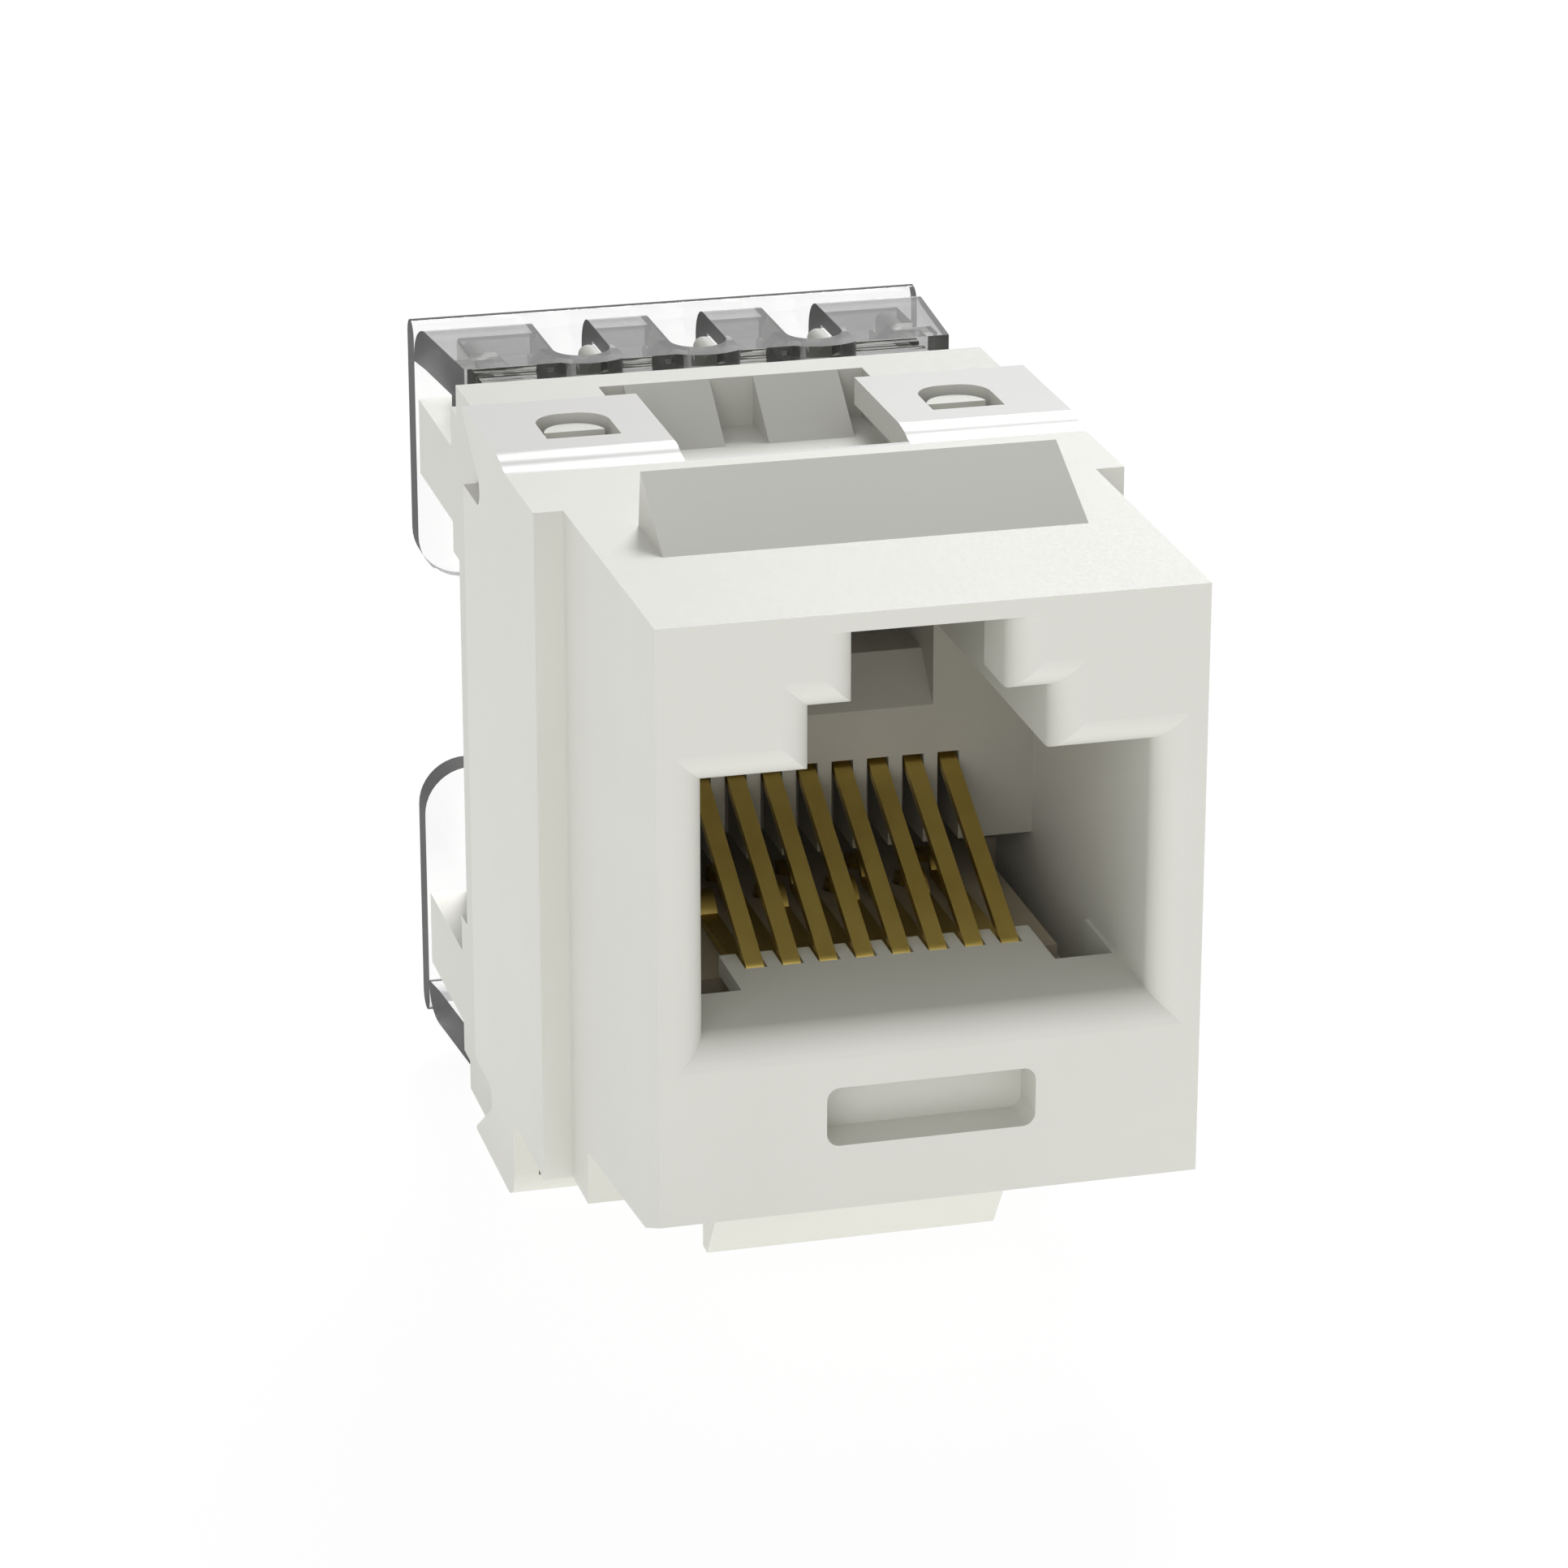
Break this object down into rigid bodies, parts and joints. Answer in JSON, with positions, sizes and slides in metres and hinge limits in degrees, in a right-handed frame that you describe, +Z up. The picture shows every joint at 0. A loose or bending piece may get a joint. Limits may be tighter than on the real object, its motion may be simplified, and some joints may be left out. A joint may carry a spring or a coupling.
{
  "type": "punch-down jack",
  "caption": "White network jack module with a plug port in front, faceplate catches, and clear-capped punch-down wire terminals at the back.",
  "frame": {"origin": "on the plug port's axis, in the plane of the front face", "axes": "+Y from the front face back along the plug's way in, +X to the right seen from the front, +Z up"},
  "size_m": [0.0166, 0.0302, 0.0238],
  "materials": {
    "white_housing": "satin",
    "white_block": "satin",
    "grey_comb": "satin",
    "dark_board": "matte",
    "gold_contacts": "satin",
    "tinned_blades": "satin",
    "clear_caps": "gloss"
  },
  "bodies": {
    "root": {"housing": "white_housing", "contact_comb": "grey_comb", "contact_1": "gold_contacts", "contact_2": "gold_contacts", "contact_3": "gold_contacts", "contact_4": "gold_contacts", "contact_5": "gold_contacts", "contact_6": "gold_contacts", "contact_7": "gold_contacts", "contact_8": "gold_contacts", "circuit_board": "dark_board", "rear_block": "white_block", "idc_blade_1": "tinned_blades", "idc_blade_2": "tinned_blades", "idc_blade_3": "tinned_blades", "idc_blade_4": "tinned_blades", "idc_blade_5": "tinned_blades", "idc_blade_6": "tinned_blades", "idc_blade_7": "tinned_blades", "idc_blade_8": "tinned_blades", "upper_cap": "clear_caps", "lower_cap": "clear_caps"}
  },
  "joints": []
}
